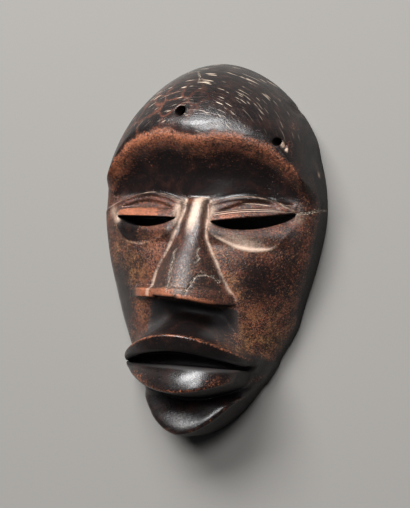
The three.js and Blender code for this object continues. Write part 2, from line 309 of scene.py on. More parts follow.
def dome(size, x, y, z, shrink=0):
    """The blank that the face is cut from: steep sides at the cheeks, rounder at the crown."""
    fullness = through(SIDE_FULLNESS, y)
    rise = (np.maximum(z, 0) / (size.dome_height - shrink)) ** fullness
    radius = np.sqrt(np.maximum(outline_sum(size, x, y, shrink) + rise, 1e-6))
    lean = np.sqrt(
        (x / (size.half_width - shrink) ** 2) ** 2
        + ((y - size.widest_y) / (size.chin_reach - shrink) ** 2) ** 2
        + (z / size.dome_height ** 2) ** 2
        + 1e-9
    )
    return (radius - 1) * np.minimum(np.minimum(1 / lean, STEEPEST) * radius, FARTHEST)


def brow_edge(x):
    return through(BROW_EDGE, np.sqrt(x * x + 9))


def face_height(x, y):
    """The shield below the forehead, with a trough across the eyes and a hollow below the nose."""
    side = np.abs(x)
    share = (y - EYE_TROUGH_Y) / (brow_edge(x) - EYE_TROUGH_Y)
    level = np.where(y > EYE_TROUGH_Y, EYE_TROUGH_Y + BROW_RISE * share, y)
    chin = ease(-85, -100, y)
    chin_level = np.minimum(level - 0.3 * (x - 5) * chin, CHIN_CLEFT_Y)
    level = np.where(y < CHIN_CLEFT_Y, chin_level, level)
    shield = through(SHIELD, level) - (x - 6 * chin) ** 2 / through(SHIELD_ROUNDING, y)
    trough = through(TROUGH, level) * (1 - 0.8 * ease(40, 68, side))
    middle = 1 - ease(15, 32, side)
    above_lip = y - upper_lip_edge(np.clip(x, -34, 34))
    band = ease(-10, 1, above_lip) * ease(-20, -57, y)
    return shield - trough - NOSE_HOLLOW * middle * band


def eye_along(size, x):
    """-1 at the inner end of an eye slit and 1 at its outer end; the left slit is shorter."""
    shorter = 1.4 * ease(4, -4, x)
    return (np.abs(x) - size.eye_x + shorter) / (size.eye_half - shorter)


def slit_top(size, x):
    """Edge of the upper lids, higher and tilted at the right."""
    tilted = 2.9 + size.eye_tilt * np.clip(eye_along(size, x), -1.2, 1.2)
    return size.eye_y - 1.1 + right_share(x) * tilted


def slit_distance(size, x, y):
    """Negative inside an eye slit."""
    along = eye_along(size, x)
    height = (size.slit_height + 1.5 * right_share(x)) * np.clip(1 - along ** 2, 0, 1) ** 0.75
    above = y - slit_top(size, x)
    return np.maximum(above - 0.1, -above - height) + 40 * np.maximum(np.abs(along) - 1, 0)


def eye_relief(size, x, y):
    """A raised arch, a sunk lens below it, the swollen lid and the scooped bag."""
    side = np.abs(x)
    along = eye_along(size, x)
    inside = np.clip(1 - along ** 2, 0, 1)
    outer_fade = 1 - 0.75 * ease(50, 68, side)
    within = 1 - ease(0.98, 1.12, np.abs(along))
    arch = through(ARCH, side)
    plate = 5 * (1 - ease(arch - 0.8, arch + 1, y)) * ease(0, 10, y) * outer_fade
    inner_end = 7 - 2 * ease(15, 24, y)
    plate = plate * ease(inner_end, 2 * inner_end + 1.5, side)
    ridge = 1.1 * bell(y - arch + 1.2, 1.2) * outer_fade
    above = y - slit_top(size, x)
    lens = ease(0, 2.6, 5.4 + 6.4 * inside - above) * ease(0, 1.8, above - 4.9)
    lens = -2.6 * lens * ease(0, 0.2, inside)
    swell = np.sqrt(np.clip(1 - ((above - 2.2) / 3.6) ** 2, 0, 1))
    lid = np.where(above > -0.7, 2.6 * inside ** 0.4 * swell * within, 0)
    bag = through(BAG, side)
    share = (y - bag) / np.maximum(size.eye_y - bag, 2)
    depth = mix(4.5, 7, right_share(x))
    scoop = np.where(above < -0.3, depth * inside ** 0.45 * np.clip(share, 0, 1) ** 1.4 * within, 0)
    border = 0.5 * bell(y - bag, 1.1) * (1 - ease(0.6, 1, np.abs(along)))
    return plate + ridge + lens + lid - scoop + border


def nose_half(x, y):
    """Half the nose's width, which differs a little on its two sides."""
    return mix(through(NOSE_LEFT, y), through(NOSE_RIGHT, y), ease(-3, 3, x))


def nose_base(x):
    """Lower edge of the nose: it drops a step in the middle and then slants down to the right."""
    return NOSE_BASE - ease(-2, 1.5, x) - 2.2 * ease(3, 20, x)


def nose_distance(x, y, z):
    """A wedge with a rounded back that leans a little to the right, cut off flat below and above."""
    side = np.abs(x)
    half = nose_half(x, y)
    ground = face_height(x, y) - 3
    across = side / half
    lean = 0.25 * ease(-12, 10, y) * (1 - np.clip(across, 0, 1) ** 2)
    leaned = np.clip(np.abs(x / half - lean), 0, 1.3)
    flatness = mix(2.1, 3.4, ease(-5, 15, y))
    back = ground + (through(NOSE_BACK, y) - ground) * (1 - leaned ** flatness)
    back = back + 1.3 * (1 - ease(-29, -26.5, y)) * (1 - ease(0.9, 1.15, across))
    wedge = eased_max((z - back) * 0.6, (side - half) * 0.9, 1)
    under = nose_base(x) - 0.03 * (z - 70) - y
    wedge = eased_max(wedge, under, 1.8)
    return eased_max(wedge, (y - NOSE_TOP) * 0.9, 3.5)


def ledge_distance(x, y, z):
    """The left wing runs out on the cheek as a low ledge."""
    height = face_height(x, y) + 7.5 * (1 - ease(-29.5, -25.5, y)) * ease(-45, -30, x)
    under = (NOSE_BASE - 0.8) - y
    ledge = eased_max((z - height) * 0.7, under, 1)
    ledge = eased_max(ledge, y + 24, 1)
    return eased_max(ledge, np.maximum(x + 22, -44.5 - x), 1)


def half_ellipse(x, z, half, foot, reach):
    """Distance in plan from the half ellipse that a lip's edge follows."""
    rise = np.maximum(z - foot, 0)
    radius = np.sqrt((x / half) ** 2 + (rise / reach) ** 2) + 1e-6
    lean = np.sqrt((x / half ** 2) ** 2 + (rise / reach ** 2) ** 2) / radius + 1e-6
    return (radius - 1) / np.maximum(lean, 1 / LIP_FARTHEST)


def upper_lip_edge(x):
    """The upper lip's top edge: highest in the middle and bent down at its ends."""
    return UPPER_LIP_Y - UPPER_LIP_BEND * ((x - 1) / 47) ** 2


def upper_lip_foot(x):
    """Its lower edge, nearer at the ends."""
    return upper_lip_edge(x) - 11 * np.clip(1 - 0.45 * (x / 48) ** 2, 0.3, 1)


def lower_lip_edge(x):
    """The lower lip's bottom edge: lowest in the middle and bent up at its ends."""
    return LOWER_LIP_Y + LOWER_LIP_BEND * ((x - 0.5) / 49) ** 2


def within_outline(lip, x, outline):
    """A lip cut off just inside the outline, further in at the right."""
    return eased_max(lip, outline - 0.8 + 4.5 * ease(25, 42, x), 2)


def upper_lip_distance(size, x, y, z, outline):
    edge = upper_lip_edge(x)
    half = size.lip_half - 3 * ease(10, 40, x)
    out = half_ellipse(x - 1, z, half, UPPER_LIP_FOOT, size.lip_reach)
    top = (y - edge) * 0.9 + out * 0.38
    front = out + np.maximum(edge - y, 0) * 0.42
    under = (upper_lip_foot(x) - y) * 0.85 - (out + 5) * 0.5
    return within_outline(eased_max(eased_max(top, front, 1.2), under, 4), x, outline)


def lower_lip_distance(size, x, y, z, outline):
    edge = lower_lip_edge(x)
    fullest = x - 0.5 - 10 * np.clip(1 - (x / 47) ** 2, 0, 1)
    half = size.lip_half - 0.5 - 3 * ease(10, 40, x)
    out = half_ellipse(fullest, z, half, LOWER_LIP_FOOT, size.lip_reach - 3)
    top = (y - edge - 9) * 0.62 + out * 0.78
    under = (edge - y) + out * 0.10
    return within_outline(eased_max(eased_max(top, out, 5), under, 2), x, outline)


def mouth_distance(size, x, y, z):
    """Negative inside the blind slot between the lips."""
    middle = MOUTH_Y - 3 * (x / 41) ** 2
    share = (x / MOUTH_HALF) ** 2
    half = 0.5 * size.mouth_gap * np.clip(1 - share, 0, 1) ** 0.6
    return eased_max(np.abs(y - middle) - half, MOUTH_FLOOR - 14 * share - z, 1.5)


def hollow_distance(size, x, y, z):
    """Negative in the hollow: the blank shrunk by the rim's wall, below a roof."""
    roof = through(ROOF, y) - x ** 2 / ROOF_ROUNDING
    return eased_max(dome(size, x, y, z, size.rim_wall), (z - roof) * 0.85, 12)


def bites(x, y, z):
    """Negative in the bites: the eroded crown, the chipped temple and a nick in the cheek."""
    distance = np.full_like(x, 50)
    for cx, cy, cz, radius in BITES:
        away = np.sqrt((x - cx) ** 2 + (y - cy) ** 2 + ((z - cz) * 0.55) ** 2)
        distance = np.minimum(distance, away - radius)
    return distance


def wood_distance(size, x, y, z):
    """The whole carving: the face and what stands out on it, less the cuts, above the plane of the rim."""
    centred = x - bow_at(size, y)
    outline = (np.sqrt(np.maximum(outline_sum(size, centred, y), 1e-6)) - 1) * OUTLINE_MM
    face = face_height(centred, y) + eye_relief(size, centred, y)
    brow = brow_edge(centred)
    inner = ease(64, 50, np.abs(centred))
    brow_round = 4 - 1.5 * ease(-90, -98, y) + 8 * inner * ease(brow - 20, brow - 6, y)
    wood = eased_max(dome(size, centred, y, z), (z - face) * 0.75, brow_round)
    wood = eased_min(wood, nose_distance(centred, y, z), 1.2)
    wood = eased_min(wood, ledge_distance(centred, y, z), 1.5)
    wood = eased_min(wood, upper_lip_distance(size, centred, y, z, outline), 9)
    wood = eased_min(wood, lower_lip_distance(size, centred, y, z, outline), 2.5)
    wood = eased_max(wood, -mouth_distance(size, centred, y, z), 1.5)
    wood = eased_max(wood, -slit_distance(size, centred, y), 0.6)
    for hole_x, hole_y, share in CORD_HOLES:
        bored = size.cord_hole * share - np.sqrt((x - hole_x) ** 2 + (y - hole_y) ** 2)
        wood = eased_max(wood, bored, 0.6)
    wood = eased_max(wood, -bites(x, y, z), 1)
    wood = eased_max(wood, -hollow_distance(size, centred, y, z), 2)
    return np.maximum(wood, -z)


# From the distance to a mesh

BLOCK = 4
GRID_LOW = (-78, -124)
GRID_SPAN = (156, 250, 86)


def sampled_distance(size, cell):
    """The distance on a grid: coarse everywhere, and exact in a band around the surface."""
    low = np.array([*GRID_LOW, -2 * cell])
    blocks = np.ceil(np.array(GRID_SPAN) / (cell * BLOCK)).astype(int) + 1
    coarse = [low[i] + cell * BLOCK * (np.arange(blocks[i]) + 0.5) - 0.5 * cell for i in range(3)]
    cx, cy, cz = np.meshgrid(*coarse, indexing="ij")
    grid = wood_distance(size, cx, cy, cz)
    for axis in range(3):
        grid = np.repeat(grid, BLOCK, axis)
    near = np.argwhere(np.abs(grid) < 1.6 * cell * BLOCK)
    place = low + cell * near
    exact = wood_distance(size, place[:, 0], place[:, 1], place[:, 2])
    grid = np.sign(grid) * 10
    grid[near[:, 0], near[:, 1], near[:, 2]] = exact
    return grid, low


def surface_of(grid, low, cell):
    """Quads around the grid's edges that cross the surface, one point for each crossed cell."""
    inside = grid < 0
    nx, ny, nz = grid.shape
    corners = [(a, b, c) for a in (0, 1) for b in (0, 1) for c in (0, 1)]
    count = np.zeros((nx - 1, ny - 1, nz - 1), np.int8)
    for a, b, c in corners:
        count += inside[a:nx - 1 + a, b:ny - 1 + b, c:nz - 1 + c]
    crossed = (count > 0) & (count < 8)
    cells = np.argwhere(crossed)
    number = np.full(crossed.shape, -1, np.int32)
    number[crossed] = np.arange(len(cells))
    value = {k: grid[cells[:, 0] + k[0], cells[:, 1] + k[1], cells[:, 2] + k[2]] for k in corners}
    total = np.zeros((len(cells), 3))
    crossings = np.zeros(len(cells))
    for k in corners:
        for axis in range(3):
            if k[axis]:
                continue
            other = tuple(1 if i == axis else k[i] for i in range(3))
            near, far = value[k], value[other]
            cross = (near < 0) != (far < 0)
            share = np.where(cross, near / np.where(cross, near - far, 1), 0)
            point = np.tile(np.array(k, float), (len(cells), 1))
            point[:, axis] += share
            total += point * cross[:, None]
            crossings += cross
    points = low + cell * (cells + total / crossings[:, None])
    quads = []
    for axis in range(3):
        b, c = [(1, 2), (2, 0), (0, 1)][axis]
        first = [slice(None)] * 3
        second = [slice(None)] * 3
        first[axis], second[axis] = slice(0, -1), slice(1, None)
        edges = np.argwhere(inside[tuple(first)] != inside[tuple(second)])
        around = []
        for db, dc in ((-1, -1), (0, -1), (0, 0), (-1, 0)):
            at = edges.copy()
            at[:, b] += db
            at[:, c] += dc
            around.append(number[at[:, 0], at[:, 1], at[:, 2]])
        quad = np.stack(around, 1)
        starts_inside = inside[edges[:, 0], edges[:, 1], edges[:, 2]]
        quad[~starts_inside] = quad[~starts_inside][:, ::-1]
        quads.append(quad)
    return points, np.concatenate(quads)


def settle(size, points, cell):
    """Move the points on to the surface."""
    step = 0.2
    value = wood_distance(size, *points.T)
    slope = np.zeros_like(points)
    for axis in range(3):
        moved = points.copy()
        moved[:, axis] += step
        slope[:, axis] = (wood_distance(size, *moved.T) - value) / step
    length = np.maximum((slope ** 2).sum(1), 0.05)
    shift = -value[:, None] * slope / length[:, None]
    far = np.linalg.norm(shift, axis=1)
    shift *= np.minimum(1, 0.5 * cell / np.maximum(far, 1e-9))[:, None]
    return points + shift


def normals_of(points, quads):
    across = points[quads[:, 2]] - points[quads[:, 0]]
    along = points[quads[:, 3]] - points[quads[:, 1]]
    face = np.cross(across, along)
    normal = np.zeros_like(points)
    for corner in range(4):
        for axis in range(3):
            normal[:, axis] += np.bincount(quads[:, corner], face[:, axis], len(points))
    return normal / np.maximum(np.linalg.norm(normal, axis=1), 1e-9)[:, None]


def averaged(values, pairs, times):
    """Values blurred along the mesh's edges."""
    count = len(values)
    weight = np.bincount(pairs.ravel(), minlength=count).astype(float)
    values = values.copy()
    for _ in range(times):
        total = np.zeros_like(values)
        for axis in range(values.shape[1]):
            total[:, axis] = np.bincount(pairs[:, 0], values[pairs[:, 1], axis], count)
            total[:, axis] += np.bincount(pairs[:, 1], values[pairs[:, 0], axis], count)
        values = 0.5 * values + 0.5 * total / np.maximum(weight, 1)[:, None]
    return values


# Fine relief, in millimetres along the surface's normal

GOUGE_WIDTH = 9


def crease_distance(x, y):
    """Distance outwards from the cut lines that run down both sides of the nose."""
    return np.abs(x) - 0.97 * nose_half(x, y)


def crease_share(y):
    """1 along the nose, 0 past the ends of its cut lines."""
    return ease(31, 28, y) * ease(-35, -32, y)


def arch_distance(x, y, offset):
    """Distance upwards from a line that follows the arches over the eyes."""
    return y - through(ARCH, np.abs(x)) - offset


def arch_share(x):
    """1 over the eyes, 0 past the ends of their arches."""
    end = 70 - 8 * right_share(x)
    return ease(6, 10, np.abs(x)) * ease(end, end - 5, np.abs(x))


def lid_share(size, x, y):
    """0 on the edge of an upper lid, 1 on the arch above it."""
    low = slit_top(size, x)
    return (y - low) / np.maximum(through(ARCH, np.abs(x)) - 1 - low, 2.5)


def crack_lines(x, y):
    """Signed distance from the nearest crack, and how open that crack is."""
    distance = np.full_like(x, 9)
    openness = np.zeros_like(x)
    for path, width in CRACKS:
        for (ax, ay), (bx, by) in zip(path[:-1], path[1:]):
            length = hypot(bx - ax, by - ay)
            ux, uy = (bx - ax) / length, (by - ay) / length
            along = (x - ax) * ux + (y - ay) * uy
            across = (y - ay) * ux - (x - ax) * uy
            beyond = np.maximum(np.maximum(-along, along - length), 0)
            away = np.hypot(across, beyond)
            closer = away < np.abs(distance)
            distance = np.where(closer, across, distance)
            here = width * ease(3, 1.6, np.abs(across)) * ease(0.8, 0, beyond)
            openness = np.where(closer, here, openness)
    return distance, openness


def scallops(x, y, z, width, seed):
    """Depth share of overlapping gouge cuts, 0 on their ridges and 1 in their middles."""
    px, py, pz = x / width + 50, y / (width * 1.6) + 50, z / width + 50
    i, j, k = (np.floor(p).astype(np.int64) for p in (px, py, pz))
    nearest = np.full_like(px, 9)
    for a in (-1, 0, 1):
        for b in (-1, 0, 1):
            for c in (-1, 0, 1):
                ci, cj, ck = i + a, j + b, k + c
                dx = ci + lattice(ci, cj, ck, seed) - px
                dy = cj + lattice(ci, cj, ck, seed + 1) - py
                dz = ck + lattice(ci, cj, ck, seed + 2) - pz
                nearest = np.minimum(nearest, dx * dx + dy * dy + dz * dz)
    return np.clip(1 - nearest, 0, 1)


def fine_relief(size, points, normals):
    """Knife wobble, cut lines beside the nose and over the eyes, cracks, and the hollow's gouge cuts."""
    x, y, z = points.T
    x = x - bow_at(size, y)
    front = ease(-0.1, 0.25, normals[:, 2]) * ease(3, 10, z)
    back = 1 - ease(-0.35, -0.05, normals[:, 2])
    wobble = 0.35 * cloud(x, y, z, 26, 3) + 0.16 * cloud(x, y, z, 9, 4) + 0.06 * cloud(x, y, z, 3.5, 5)
    crease = bell(crease_distance(x, y), 0.9) * crease_share(y)
    arches = bell(arch_distance(x, y, -2.6), 0.7) + 0.7 * bell(arch_distance(x, y, 2.4), 0.7)
    arches = arches * arch_share(x)
    gouged = 0.55 * scallops(x, y, z, GOUGE_WIDTH, 11) * back * ease(1, 6, z)
    crack, openness = crack_lines(x, y)
    opened = 0.5 * openness * bell(crack, 0.6)
    carved = front * (0.7 * wobble - 0.5 * crease - 0.22 * arches - opened)
    sides = (1 - front) * (1 - back) * 0.6 * wobble * ease(0.5, 4, z)
    return carved + sides - gouged + 0.4 * back * wobble * ease(1, 6, z)


# What the finish reads at each point: shares from 0 to 1, and distances in millimetres from cut lines

EDGE_BLUR = 14
FINISH = (
    "worn", "residue", "soot", "vein", "ochre", "raw", "dull", "crease", "arch", "crease_on", "arch_on",
    "lid", "on_lid", "crack", "crack_open",
)

# Spots of the finish, each (strength, x, y, half width, half height)
CHEEK_GLOW = [(0.55, -24, -6, 9, 20), (0.6, -37, -44, 6, 12), (0.5, 40, -46, 10, 18)]
CHEEK_SOOT = [(0.8, 41, -20, 13, 19), (0.5, 60, -5, 9, 34), (0.9, -54, -36, 15, 28)]
LIP_DUST = [(0.8, -30, -86, 16, 7), (0.7, 30, -85, 12, 6)]
BOTH_EYE_CORNERS = [(0.75, 11, 20, 3.6, 9), (0.5, 62, 20, 4, 5)]
# The first spot paints a sheen with pale dust on the right eye's bag; the second is pale residue.
PALE_DUST_AND_SHEEN_BY_EYES = [(0.65, 32, 3.5, 15, 5.5), (0.5, -57, 15, 4, 4)]
THIN_STAIN = [(0.8, 44, -52, 13, 15), (0.7, -44, -10, 15, 18), (0.6, 30, -58, 14, 7)]
VEINED = [(1, -24, 88, 24, 14), (0.8, -46, 70, 16, 9)]
HOLE_CHIPS = [(1, 52.5, 65.6, 0.8, 1.6), (1, 54.9, 62.6, 0.7, 1.2)]

# Chips on the steep wall, each (x, y, z, half width, half height, half depth)
WALL_CHIPS = [(58.5, 78.2, 29, 1.5, 1.6, 2.2), (69.3, 50.3, 14, 1.5, 2.2, 2.5)]


def spot(x, y, cx, cy, rx, ry):
    """A soft spot: 1 in its middle, and 0.37 at its half width or half height."""
    return np.exp(-(((x - cx) / rx) ** 2 + ((y - cy) / ry) ** 2))


def spots(x, y, places):
    return sum(strength * spot(x, y, *place) for strength, *place in places)


def skin_at(size, points, normals, pairs):
    """Where each point lies: its place and slope, how proud it is, clouds, and regions of the face."""
    x, y, z = points.T
    x = x - bow_at(size, y)
    side = np.abs(x)
    up = normals[:, 2]
    proud = ((points - averaged(points, pairs, EDGE_BLUR)) * normals).sum(1)
    patchy = 0.5 + 0.5 * cloud(x, y, z, 9, 21)
    drift = 1.6 * cloud(x, y, z, 16, 31) + 1.2 * cloud(x, y, z, 6, 32)
    along = np.abs(eye_along(size, x))
    right = right_share(x)
    lift = y - nose_base(x)
    from_brow = y + drift - brow_edge(x)
    recess_side = side + drift + 3 * (1 - right) - 0.25 * np.clip(-45 - y, 0, 12)
    above_bag = ease(0, 2, y - through(BAG, side))
    return SimpleNamespace(
        x=x, y=y, z=z, side=side, along=along, right=right, patchy=patchy, drift=drift, lift=lift,
        from_brow=from_brow,
        above_lip=y - upper_lip_edge(x),
        across_nose=side / nose_half(x, y),
        edge=ease(0.10, 0.55, proud),
        pit=ease(0.05, 0.45, -proud),
        front=ease(-0.2, 0.2, up) * ease(2, 6, z),
        walls=1 - ease(0.05, 0.45, up + 0.05 * drift),
        bald=spot(x, y, 60, 64, 16, 34) * ease(0.3, 0.75, patchy),
        # The brow recess and the place below the nose carry painted shade in the soot layer.
        brow_recess=ease(-5, -15, from_brow) * ease(27, 33, y),
        # A pale highlight painted down the nose bridge, with its pale wear.
        bridge_wear_and_highlight=bell(x - 2.8 + 0.16 * (28 - y), 4) * ease(2, 15, y) * ease(32, 29, y),
        bag_floor=above_bag * ease(19, 16, y) * ease(1.08, 0.95, along),
        below_nose=ease(0, -3, lift) * ease(33.5, 27.5, recess_side),
    )


def worn_share(size, at):
    """Rubbed to warm bare wood: brow, lids, the nose's base and sides, the edges of lips and chin."""
    x, y, z, side = at.x, at.y, at.z, at.side
    brow_top = ease(4.5, -0.5, at.from_brow) * ease(70, 60, side)
    brow_band = ease(-10.5, -2.5, at.from_brow) * brow_top * mix(1, 0.72, ease(0, 35, x))
    brow_dust = ease(-26, -7, at.from_brow) * brow_top

    above = y - slit_top(size, x)
    roll = 6 * np.clip(1.12 - at.along ** 2, 0, 1) ** 0.4 + 0.25 * at.drift
    left_lid = 1 - 0.6 * ease(-29, -21, x)
    right_lid = 0.3 + 0.45 * spot(x, y, 23, 20, 10, 6)
    lids = ease(0.1, 0.8, above) * ease(roll + 0.5, roll - 0.5, above)
    lids = lids * mix(left_lid, right_lid, at.right)

    thick = mix(6.2, 4.2, ease(-3, 3, x))
    base = ease(-1.5, 0, at.lift) * ease(thick, thick - 2.2, at.lift)
    base = base * ease(46, 41, side) * ease(46, 54, z + 0.25 * side) * ease(26, 18, x)
    base = base * (1 - 0.75 * spot(x, y, -0.8, -33, 1.6, 8))
    away = crease_distance(x, y)
    nose_sides = ease(-2, 1.5, away) * ease(9, 2, away) * ease(12, -6, y)
    nose_sides = nose_sides * crease_share(y) * mix(0.5, 1, at.right)

    upper_edge = bell(at.above_lip, 1.3) * ease(50, 40, side)
    lower_edge = bell(y - lower_lip_edge(x) - 0.6, 2.2) * ease(52, 40, side)
    chin_edge = ease(0.12, 0.4, at.edge) * ease(-90, -100, y) * ease(20, 26, z)
    chin_edge = chin_edge * ease(-30, -18, x) * at.patchy
    lip_dust = spots(x, y, LIP_DUST) * ease(38, 46, z)

    worn = 0.5 * nose_sides + 0.8 * brow_band + 0.95 * lids + 0.9 * base
    worn = worn + 0.5 * upper_edge + 0.4 * lower_edge + 0.85 * chin_edge
    worn = np.maximum.reduce([worn, 0.3 * brow_dust, 0.6 * lip_dust, spots(x, y, CHEEK_GLOW)])
    worn = worn * (0.75 + 0.4 * at.patchy) + 0.2 * at.edge * at.patchy * ease(90, 70, y)
    return at.front * np.clip(worn, 0, 1)


def residue_and_sheen_share(at):
    """Pale residue in the corners of the eyes and on the bags, with a painted sheen on the right bag, pale
    wear with a painted highlight on the bridge, and pale chips.
    """
    x, y = at.x, at.y
    # The first spot by the eyes paints a sheen with pale dust on the right eye's bag.
    corners = spots(at.side, y, BOTH_EYE_CORNERS) + spots(x, y, PALE_DUST_AND_SHEEN_BY_EYES)
    bag_rim = bell(y - through(BAG, at.side) - 0.2, 1.1) * ease(1, 0.5, at.along)
    bag_rim = bag_rim * mix(0.3, 0.7 * ease(60, 42, x), at.right)
    # The bridge term paints a highlight with pale wear down the nose bridge.
    residue = (corners + bag_rim + 0.85 * at.bridge_wear_and_highlight) * (0.5 + 0.8 * at.patchy)
    residue = at.front * np.clip(residue + 0.15 * at.pit * at.patchy, 0, 1)
    chipped = spots(x, y, HOLE_CHIPS)
    for cx, cy, cz, rx, ry, rz in WALL_CHIPS:
        chipped = chipped + spot(x, y, cx, cy, rx, ry) * bell(at.z - cz, rz)
    chin_dust = spot(x, y, -10, -113, 14, 4) * ease(0.3, 0.7, at.patchy)
    return np.clip(residue + 1.4 * chipped + 0.6 * chin_dust * at.front, 0, 1)


def soot_and_shade_share(at):
    """Soot and oil on the crown, lips and chin and the side walls, with painted shade below the nose and,
    over the soot, in the brow recess.
    """
    x, y = at.x, at.y
    crown = ease(-1, 4, at.from_brow)
    nose = 0.5 * ease(1, 0.8, at.across_nose) * ease(-31, -27, y) * ease(30, 26, y)
    bags = at.bag_floor * mix(0.4 + 0.5 * ease(-34, -44, x), 0.3, at.right)
    mouth = ease(9, 1, at.above_lip + 0.5 * at.drift)
    temple = spot(x, y, 66, 52, 12, 34)
    cheeks = spots(x, y, CHEEK_SOOT)
    # Below the nose this paints shade, and in the brow recess it paints shade over the soot.
    soot = [at.brow_recess, crown, at.below_nose, mouth, at.walls, temple, nose, bags, cheeks]
    dusty = spot(x, y, 35, -58, 11, 9) * ease(-1, 2, at.above_lip)
    return np.clip(np.maximum.reduce(soot) * (1 - 0.8 * dusty) * (1 - 0.5 * at.bald), 0, 1)


def ochre_share(at):
    """The stain has gone thin on the lower cheeks and beside the nose."""
    x, y = at.x, at.y
    broad = 0.5 + 0.5 * cloud(x, y, at.z, 22, 22)
    beside_nose = bell(crease_distance(x, y) - 3.5, 3.5) * ease(5, -10, y) * crease_share(y) * at.right
    ochre = 0.5 * ease(0.45, 0.8, broad) * ease(8, -10, y) + 0.8 * beside_nose
    return np.clip(ochre + spots(x, y, THIN_STAIN), 0, 1) * at.front


def dull_share(size, at):
    """Above 0 where dust and soot take the gloss away, below 0 where handling has polished the wax."""
    x, y = at.x, at.y
    under_nose = at.below_nose * ease(10, 22, at.side) * ease(0, 5, at.above_lip)
    under_base = at.below_nose * ease(-10, -4, at.lift)
    slot = ease(2.5, 1, mouth_distance(size, x, y, at.z))
    walls = at.walls * (1 - 0.5 * at.bald)
    lids = ease(1.1, 0.95, at.along) * ease(-1, 2, y - size.eye_y) * ease(35, 31, y)
    low_nose = ease(1.05, 0.9, at.across_nose) * ease(6, -8, y) * ease(-36, -33, y)
    dulled = [2 * under_nose, 2 * under_base, 1.2 * walls, 1.5 * slot, 0.5 * lids, 0.45 * low_nose]
    slit_ends = bell(at.along - 1, 0.13) * bell(y - 14, 11)
    dull = np.maximum.reduce(dulled) + 0.3 * at.bridge_wear_and_highlight + 0.45 * at.bag_floor * at.right + 1.2 * slit_ends
    left_cheek = spot(x, y, -50, -28, 20, 40) * ease(-20, -32, x)
    polished = 0.5 * at.brow_recess + 0.5 * left_cheek + 0.6 * ease(90, 102, y)
    return np.clip(dull - polished, -1, 3)


def finish_masks(size, points, normals, pairs):
    """Every mask of the finish by its name, in the order of FINISH."""
    at = skin_at(size, points, normals, pairs)
    x, y = at.x, at.y
    inner = hollow_distance(size, x, y, at.z) < 2.5
    crack, openness = crack_lines(x, y)
    share = lid_share(size, x, y)
    on_lid = ease(1.02, 0.9, at.along) * ease(1.15, 1, share) * ease(-0.1, 0.02, share)
    masks = (
        worn_share(size, at), residue_and_sheen_share(at), soot_and_shade_share(at),
        np.clip(spots(x, y, VEINED), 0, 1) * at.front,
        ochre_share(at),
        np.where(inner | (at.z < 0.5), 1, 0),
        dull_share(size, at),
        np.clip(crease_distance(x, y), -8, 8), np.clip(arch_distance(x, y, 0), -8, 8),
        crease_share(y), arch_share(x),
        np.clip(share, -1, 2), on_lid * mix(0.3, 1, at.right),
        np.clip(crack, -4, 4), openness,
    )
    return dict(zip(FINISH, masks))


# Materials

def linear(hex_colour):
    """An sRGB hex colour as linear RGBA."""
    parts = [int(hex_colour[i:i + 2], 16) / 255 for i in (1, 3, 5)]
    return [c / 12.92 if c <= 0.04045 else ((c + 0.055) / 1.055) ** 2.4 for c in parts] + [1]


def add_node(tree, kind, settings, links, output=0):
    """Adds a node with its settings and links and returns one output.

    The links are values or sockets for its inputs: by name or number, or a tuple in the inputs' order.
    """
    node = tree.nodes.new("ShaderNode" + kind)
    for name, value in settings.items():
        setattr(node, name, value)
    inputs = links.items() if isinstance(links, dict) else enumerate(links)
    for name, value in inputs:
        if isinstance(value, bpy.types.NodeSocket):
            tree.links.new(value, node.inputs[name])
        else:
            node.inputs[name].default_value = value
    return node.outputs[output] if len(node.outputs) else None


def new_material(name):
    material = bpy.data.materials.new(name)
    material.use_nodes = True
    material.node_tree.nodes.clear()
    return material, partial(add_node, material.node_tree)


# Kinds of node with their settings; of Mix, 0 is the share, 6 and 7 the colours, and output 2 the result
LESS = ("Math", {"operation": "SUBTRACT"})
TIMES = ("Math", {"operation": "MULTIPLY"})
TIMES_PLUS = ("Math", {"operation": "MULTIPLY_ADD"})
MOST = ("Math", {"operation": "MAXIMUM"})
SIZE_OF = ("Math", {"operation": "ABSOLUTE"})
RAMP = ("MapRange", {"interpolation_type": "SMOOTHSTEP"})
NOISE = ("TexNoise", {})
MIX = ("Mix", {"data_type": "RGBA"})
MIXED = 2

# Noises of the patina: name, lumps in 100 mm, detail and roughness
HUNDRED_MM = 100 * MM
NOISES = (
    ("fine", 80, 4, 0.65), ("blotch", 12, 4, 0.6), ("broad", 3.8, 3, 0.55),
    ("speck", 85, 3, 0.75), ("mottle", 15, 6, 0.8), ("dots", 90, 2, 0.5),
)

# Cuts across the lids, from the lid's edge to the arch above it
LID_FLUTES = 9.5

# The marks and scratches run around this centre, and their lengths are true at this radius
CROWN_CENTRE = (-5 * MM, 45 * MM, 0)
CROWN_RADIUS = 60 * MM

# Groups of scratches: tilt, offset, where their patches begin, and strength
SCRATCH_GROUPS = ((0.06, 3.1, 0.47, 0.5), (-0.16, 7.7, 0.51, 0.45), (0.35, 4.9, 0.55, 0.4))


def stained_wood(add, read, noise, paint):
    """Stained heartwood, redder in streaks, thin to ochre in patches, mottled and dotted."""
    redder = add(*RAMP, (noise["broad"], 0.35, 0.7, 0, 0.7))
    thin = add(*RAMP, (noise["blotch"], 0.38, 0.62))
    thin = add(*TIMES, (thin, read["ochre"]))
    mottle = add(*RAMP, (noise["mottle"], 0.42, 0.58, 0, 0.9))
    dots = add(*RAMP, (noise["dots"], 0.56, 0.68, 0, 0.6))
    wood = paint["heartwood"]
    for share, colour in ((redder, "redwood"), (thin, "ochre"), (mottle, "smoked"), (dots, "ochre")):
        wood = add(*MIX, {0: share, 6: wood, 7: paint[colour]}, MIXED)
    return wood


